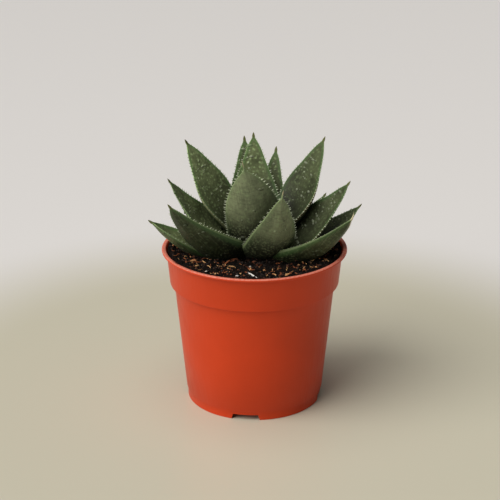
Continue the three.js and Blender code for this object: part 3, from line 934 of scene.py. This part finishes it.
def scatter(settings, clods):
    """Crumbs, bark chips, coir slivers and curled fibres that lie in the surface."""
    draw = random.Random(LITTER.seed)
    bm = bmesh.new()
    tint_and_shade = bm.verts.layers.float.new("tint_and_shade")
    reach = COLLAR.top_r - WALL - LITTER.margin

    def spot(inner):
        """A place on the soil, outside a share of its area in the middle."""
        radius = reach * sqrt(lerp(inner, 1.0, draw.random()))
        turn = draw.uniform(0, tau)
        return radius * cos(turn), radius * sin(turn)

    # each bit's tint is darkened under the leaves, as painted shade
    for _ in range(settings.crumbs):
        x, y = spot(CRUMBS.middle)
        size = draw.choice(CRUMBS.sizes)
        centre = resting(x, y, clods, size * 0.3)
        shape = (size, size * draw.uniform(*CRUMBS.flat), size * draw.uniform(*CRUMBS.long))
        shade = draw.choice(CRUMBS.tints)
        lie = (draw.uniform(0, tau), draw.uniform(-CRUMBS.tilt, CRUMBS.tilt))
        add_chip(bm, tint_and_shade, centre, lie, shape, 0.0, shade * leaf_shade_factor(x, y))
    for _ in range(settings.slivers):
        x, y = spot(SLIVERS.middle)
        length = draw.choice(SLIVERS.lengths) * draw.uniform(*SLIVERS.vary)
        thick = draw.uniform(*SLIVERS.thick)
        centre = resting(x, y, clods, thick)
        shape = (thick, thick * 0.5, length / 2)
        shade = draw.choice(SLIVERS.tints) * leaf_shade_factor(x, y)
        lie = (draw.uniform(0, tau), draw.uniform(-SLIVERS.tilt, SLIVERS.tilt))
        bend = draw.uniform(-SLIVERS.bend, SLIVERS.bend) * length
        add_chip(bm, tint_and_shade, centre, lie, shape, bend, shade)
    for _ in range(settings.curls):
        x, y = spot(CURLS.middle)
        bow = draw.uniform(*CURLS.bow)
        shade = draw.choice(CURLS.tints) * leaf_shade_factor(x, y)
        thick = draw.uniform(*CURLS.thick)
        sweep = draw.uniform(*CURLS.sweep)
        add_curl(bm, tint_and_shade, resting(x, y, clods), draw, bow, sweep, thick, shade)
    for x, y, bow, shade in SOIL_CURLS:
        centre = resting(x, y, clods, 0.3)
        add_curl(bm, tint_and_shade, centre, draw, bow * 0.75, 115, 0.45, shade)
    for x, y, heading, length, thick, shade in SOIL_CHIPS:
        centre = resting(x, y, clods, 0.7)
        add_chip(bm, tint_and_shade, centre, (heading, 0.0), (thick, 0.3, length / 2), 0.1, shade)
    litter = finish_mesh(bm, "bark_and_coir", [bark_and_coir()], 50)
    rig.ride(litter, BODY)
    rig.slot(litter, "peat")


class BuildSoil(Operator):
    """Builds the peat that fills the pot, with the bark and coir in its surface"""

    bl_idname = "succulent.soil"
    bl_label = "Soil"

    def execute(self, context):
        settings = context.scene.succulent_soil
        clods = settings.clods / MM
        fill_pot(settings, clods)
        scatter(settings, clods)
        return {"FINISHED"}


# The leaves.


def complete(index):
    """A leaf's row with what it leaves out, and where its root is."""
    share = index / (len(LEAVES) - 1)
    root = dict(root_r=lerp(*ROOT_R, sqrt(share)), root_z=lerp(*ROOT_Z, share))
    *plain, own = LEAVES[index]
    plain = zip(LEAF_COLUMNS, plain)
    return Values(**{"seed": index * NOISE_STEP, **PLAIN_LEAF, **root, **dict(plain), **own})


def directions(leaf, s):
    """Along the midrib, across the blade to its left, and up out of its upper face."""
    azimuth = radians(leaf.azimuth)
    pitch = radians(leaf.rise + leaf.curl * s)
    flat = cos(pitch)
    along = Vector((cos(azimuth) * flat, sin(azimuth) * flat, sin(pitch)))
    across = Vector((-sin(azimuth), cos(azimuth), 0))
    across = Matrix.Rotation(radians(leaf.roll), 3, along) @ across
    up = along.cross(across)
    swing = Matrix.Rotation(radians(leaf.bend * s), 3, up)
    return swing @ along, swing @ across, up


def midrib(leaf, s):
    """The midrib's point at the share s of the leaf's length, with the directions there."""
    azimuth = radians(leaf.azimuth)
    x, y = leaf.root_r * cos(azimuth), leaf.root_r * sin(azimuth)
    point = Vector((PLANT_X + x, y, leaf.root_z))
    step = leaf.length * s / MIDRIB_STEPS
    for k in range(MIDRIB_STEPS):
        point += directions(leaf, s * (k + 0.5) / MIDRIB_STEPS)[0] * step
    return point, *directions(leaf, s)


def half_width(leaf, s):
    """Half the blade's width at s, with the small ripples of its margins."""
    fullness = lerp(NARROWING.low, NARROWING.high, smoothstep(s, *NARROWING.span))
    fullness += NARROWING.blunt * leaf.blunt
    power = NARROWING.power + NARROWING.blunt_power * leaf.blunt
    narrowing = (1 - s**power) ** fullness
    neck_end = NECK.end + NECK.slim_end * leaf.slim
    neck = lerp(NECK.root - NECK.slim_root * leaf.slim, 1, smoothstep(s, 0, neck_end))
    ripple = noise.noise(Vector((s * leaf.length / RIPPLE.long, leaf.seed, 0)))
    half = leaf.width / 2 * narrowing * neck + RIPPLE.high * ripple * (1 - s)
    return max(leaf.tip, half)


def section(leaf, s):
    """Thickness, channel depth and keel share of the blade at s."""
    body = THICK.share * leaf.width * (1 - s ** THICK.power) ** THICK.sharpness
    body *= lerp(THICK.root_share, 1, smoothstep(s, 0, THICK.root_end))
    thick = max(TIP_THICK, body)
    channel = CHANNEL.share * leaf.width * (1 - smoothstep(s, *CHANNEL.span))
    folded = leaf.fold * half_width(leaf, s) * smoothstep(s, 0, CHANNEL.fold_end)
    keel = lerp(KEEL.root, KEEL.tip, smoothstep(s, *KEEL.span))
    return thick, max(channel, folded), keel


def swelling(leaf, s, x, upper):
    """Soft swellings of a fleshy face, in mm, none at the margins and at the tip."""
    along, across = s * leaf.length / SWELL.along, x * leaf.width / SWELL.across
    spot = Vector((along, across, leaf.seed + 3 * upper))
    return SWELL.high * noise.noise(spot) * (1 - x * x) * (1 - s)


def face_height(leaf, s, x, upper):
    """Height of the upper or lower face over the midrib, x from margin -1 to margin 1."""
    thick, channel, keel = section(leaf, s)
    bead = MARGIN_HALF * sqrt(max(0.0, 1 - abs(x) ** MARGIN_POWER))
    soft = swelling(leaf, s, x, upper)
    if upper:
        return bead + soft - channel * (1 - x * x)
    round_face = sqrt(max(0.0, 1 - x * x))
    ridge = max(0.0, 1 - sqrt(x * x + KEEL.rounding))
    return -bead - soft - (channel + thick - MARGIN_HALF) * lerp(round_face, ridge, keel)


# what the skin's material reads from a leaf: its own values come last
OWN_LAYERS = ("olive", "tone", "bumps", "dry", "dry_tip")
LEAF_LAYERS = ("share", "run", "span", "edge", "face", "pale", *OWN_LAYERS)


def mark(vert, layers, *values):
    """Gives a vertex its first layers' values, in their order."""
    for name, value in zip(LEAF_LAYERS, values):
        vert[layers[name]] = value


def leaf_mesh(index, settings):
    """One leaf as a bmesh: its blade and spike, then its teeth and bumps."""
    leaf = complete(index)
    draw = random.Random(LEAF_SEED + index)
    bm = bmesh.new()
    layers = {name: bm.verts.layers.float.new(name) for name in LEAF_LAYERS}
    add_blade(bm, leaf, layers)
    add_teeth(bm, leaf, layers, settings, draw)
    if leaf.length > GROWN:
        add_bumps(bm, leaf, layers, settings, draw)
    for name in OWN_LAYERS:
        for vert in bm.verts:
            vert[layers[name]] = getattr(leaf, name)
    # painted light and shade: each leaf made lighter on its left half, darker at the root and lighter at the tip
    for vert in bm.verts:
        lean = 1 + leaf.lean * vert[layers["span"]] * 2 / leaf.width
        along = smoothstep(vert[layers["share"]], *ROOT_SHADE.span)
        root_shading = lerp(ROOT_SHADE.root, ROOT_SHADE.tip, along)
        vert[layers["tone"]] *= lean * lerp(1, root_shading, leaf.deep)
    return bm


def add_blade(bm, leaf, layers):
    """A grid that is wrapped round the leaf: one way along it, the other round its section."""
    bmesh.ops.create_grid(bm, x_segments=ALONG_CUTS, y_segments=AROUND_CUTS, size=0.5)
    columns = {}
    for vert in bm.verts:
        u, v = vert.co.x + 0.5, vert.co.y + 0.5
        key = round(u * ALONG_CUTS)
        if key not in columns:
            columns[key] = blade_column(leaf, u)
        s, point, across, up, half, shrink = columns[key]
        x = -cos(tau * v)
        upper = v < 0.5
        height = face_height(leaf, s, x, upper) * shrink
        point = point + across * (x * half * shrink) + up * height
        vert.co = point * MM
        face = sin(tau * v) if abs(x) < 0.999 else 0.0
        mark(vert, layers, u, s * leaf.length, x * half, (1 - abs(x)) * half, face)
    bmesh.ops.remove_doubles(bm, verts=bm.verts, dist=1e-6)
    bmesh.ops.holes_fill(bm, edges=bm.edges, sides=0)
    bmesh.ops.recalc_face_normals(bm, faces=bm.faces)


def blade_column(leaf, u):
    """The blade at the share u of the whole leaf, whose last part is the spike."""
    reach = u * (leaf.length + leaf.spike)
    s = min(1.0, reach / leaf.length)
    point, along, across, up = midrib(leaf, s)
    shrink = 1.0
    if reach > leaf.length:
        past = (reach - leaf.length) / leaf.spike
        point = point + along * (reach - leaf.length) + up * leaf.hook * past * past
        shrink = max(SPIKE.end, (1 - past) ** SPIKE.power)
    return s, point, across, up, half_width(leaf, s), shrink


def add_teeth(bm, leaf, layers, settings, draw):
    """Small horny teeth along both margins, which lean towards the tip."""
    spacing = settings.tooth_spacing / MM
    tall = settings.tooth / MM * leaf.teeth
    count = int(leaf.length * TEETH.cover / spacing)
    for side in (-1, 1):
        for k in range(count):
            s = lerp(TEETH.start, TEETH.end, (k + draw.uniform(0.2, 0.8)) / count)
            half = half_width(leaf, s)
            size = min(1.0, TEETH.least + half / TEETH.full_half) * draw.uniform(0.6, 1.1)
            if leaf.length < GROWN:
                size *= TEETH.young
            point, along, across, up = midrib(leaf, s)
            root = point + across * side * (half - TEETH.inset)
            lean = across * side + along * TEETH.lean + up * draw.uniform(0.0, 0.3)
            lean.normalize()
            length = tall * size + TEETH.sunk
            flat = Matrix.Diagonal((1.0, TEETH.flat, 1.0, 1.0))
            place = placed(root + lean * length / 2, lean, along)
            made = bmesh.ops.create_cone(
                bm, cap_ends=True, segments=TEETH.sides, radius1=TEETH.root * size * MM,
                radius2=TEETH.point * MM, depth=length * MM, matrix=place @ flat,
            )["verts"]
            label(made, layers, leaf, s, side, 0.0, draw.uniform(0.75, 1.0))


def add_bumps(bm, leaf, layers, settings, draw):
    """Pale bumps in short broken rows across the upper face, and faint ones on the other."""
    for upper, first, last, step, paleness in BUMP_ROWS:
        rows = int(leaf.length * (last - first) / step)
        for row in range(rows):
            s_row = lerp(first, last, (row + draw.uniform(0.1, 0.9)) / rows)
            reach = half_width(leaf, s_row) * BUMPS.cover
            across = draw.uniform(-1.0, 0.6) * reach
            slant = draw.uniform(-0.5, 0.9)
            for _ in range(draw.choice(BUMPS.in_row)):
                across += draw.uniform(*BUMPS.apart)
                s = s_row - (slant * abs(across) * 0.4 + draw.uniform(-0.8, 0.8)) / leaf.length
                on_blade = across <= reach and BUMPS.start < s < BUMPS.end
                if not on_blade or draw.random() < BUMPS.missing:
                    continue
                radius = settings.bump / MM * draw.uniform(*BUMPS.sizes)
                stretch = draw.choice(BUMPS.stretch)
                pale = paleness * leaf.bumps * draw.uniform(*BUMPS.pale)
                x = across / half_width(leaf, s)
                add_bump(bm, leaf, layers, s, x, upper, radius, stretch, pale)


def add_bump(bm, leaf, layers, s, x, upper, radius, stretch, paleness):
    """One low dome on the skin, which may be drawn out across the blade."""
    point, along, across, up = midrib(leaf, s)
    side = 1.0 if upper else -1.0
    height = face_height(leaf, s, x, upper) - side * radius * BUMPS.sunk
    centre = point + across * (x * half_width(leaf, s)) + up * height
    place = placed(centre, up * side, along) @ Matrix.Diagonal((1, stretch, BUMPS.low, 1))
    made = bmesh.ops.create_icosphere(bm, subdivisions=1, radius=radius * MM, matrix=place)
    label(made["verts"], layers, leaf, s, x, side, paleness)


def label(verts, layers, leaf, s, x, face, paleness):
    """Says what part of the leaf a tooth's or a bump's vertices belong to."""
    half = half_width(leaf, s)
    share = s * leaf.length / (leaf.length + leaf.spike)
    edge = max(1.0, (1 - abs(x)) * half)
    for vert in verts:
        mark(vert, layers, share, s * leaf.length, x * half, edge, face, paleness)


class BuildLeaves(Operator):
    """Builds every leaf, each with its spike, teeth and bumps"""

    bl_idname = "succulent.leaves"
    bl_label = "Leaves"

    def execute(self, context):
        settings = context.scene.succulent_leaf
        skin = leaf_skin(settings)
        for index in range(len(LEAVES)):
            name = f"leaf_{index + 1:02d}"
            leaf = finish_mesh(leaf_mesh(index, settings), name + "_skin", [skin])
            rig.ride(leaf, BODY)
            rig.replaces(leaf, name)
            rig.slot(leaf, "leaf")
        return {"FINISHED"}


class FinishStem(Operator):
    """Gives the stem its tissue, because its shape is right as it is"""

    bl_idname = "succulent.stem"
    bl_label = "Stem"

    def execute(self, context):
        mesh = frame["nodes"]["stem"].data
        mesh.materials.clear()
        mesh.materials.append(stem_tissue())
        return {"FINISHED"}


# The stage.


def add_soft_light(context, name, place, strength):
    """A large soft light that lights the whole floor alike, wherever the lamp stands."""
    light = bpy.data.lights.new(name, "SUN")
    light.energy = strength
    light.angle = radians(place.angle)
    light.color = linear("#fffcf7")
    lamp = bpy.data.objects.new(name, light)
    turn, rise = radians(place.azimuth), radians(place.elevation)
    flat = cos(rise)
    towards = Vector((cos(turn) * flat, sin(turn) * flat, sin(rise)))
    lamp.location = towards
    lamp.rotation_euler = (-towards).to_track_quat("-Z", "Y").to_euler()
    context.scene.collection.objects.link(lamp)


def add_camera(context):
    camera = bpy.data.cameras.new("camera")
    camera.lens = CAMERA.lens
    camera.sensor_width = CAMERA.sensor
    eye = bpy.data.objects.new("camera", camera)
    tilt = radians(CAMERA.elevation)
    back = Vector((0, -cos(tilt), sin(tilt)))
    eye.location = (Vector(CAMERA.aim) + back * CAMERA.distance) * MM
    eye.rotation_euler = (-back).to_track_quat("-Z", "Y").to_euler()
    context.scene.collection.objects.link(eye)
    context.scene.camera = eye


class BuildStage(Operator):
    """Adds the pale floor, the soft studio lights and the camera"""

    bl_idname = "succulent.stage"
    bl_label = "Stage"

    def execute(self, context):
        settings = context.scene.succulent_stage
        bm = bmesh.new()
        bmesh.ops.create_circle(bm, cap_ends=True, segments=96, radius=FLOOR_R)
        floor = finish_mesh(bm, "floor", [floor_paint(settings.near, settings.far)])
        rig.stage(floor)
        for name, light in LIGHTS.items():
            add_soft_light(context, name, light, settings.key * light.share)
        world = bpy.data.worlds.new("studio")
        world.use_nodes = True
        background = world.node_tree.nodes["Background"]
        background.inputs["Color"].default_value = (1, 0.995, 0.985, 1)
        background.inputs["Strength"].default_value = settings.ambient
        context.scene.world = world
        context.scene.view_settings.view_transform = "Standard"
        add_camera(context)
        return {"FINISHED"}


class SucculentPanel(Panel):
    """Lists the pieces and their settings"""

    bl_idname = "VIEW3D_PT_succulent"
    bl_label = "Potted Succulent"
    bl_space_type = "VIEW_3D"
    bl_region_type = "UI"
    bl_category = "Succulent"

    def draw(self, context):
        for operator, settings in (
            (BuildPot, context.scene.succulent_pot),
            (BuildSoil, context.scene.succulent_soil),
            (FinishStem, None),
            (BuildLeaves, context.scene.succulent_leaf),
            (BuildStage, context.scene.succulent_stage),
        ):
            box = self.layout.box()
            box.operator(operator.bl_idname)
            for name in settings.bl_rna.properties.keys() if settings else ():
                if name not in ("rna_type", "name"):
                    box.prop(settings, name)


SETTINGS = {
    "succulent_pot": PotSettings,
    "succulent_soil": SoilSettings,
    "succulent_leaf": LeafSettings,
    "succulent_stage": StageSettings,
}
OPERATORS = (BuildPot, BuildSoil, FinishStem, BuildLeaves, BuildStage)
CLASSES = (*SETTINGS.values(), *OPERATORS, SucculentPanel)


def register():
    for cls in CLASSES:
        bpy.utils.register_class(cls)
    for name, group in SETTINGS.items():
        setattr(bpy.types.Scene, name, PointerProperty(type=group))


def unregister():
    for name in SETTINGS:
        delattr(bpy.types.Scene, name)
    for cls in reversed(CLASSES):
        bpy.utils.unregister_class(cls)


def main():
    register()
    bpy.ops.succulent.pot()
    bpy.ops.succulent.soil()
    bpy.ops.succulent.stem()
    bpy.ops.succulent.leaves()
    bpy.ops.succulent.stage()
    boxes = {"cad": CAD_BOX, "visual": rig.bounds()}
    with open(SIZE_FILE, "w") as file:
        json.dump({name: [list(corner) for corner in box] for name, box in boxes.items()}, file)


if __name__ == "__main__":
    main()
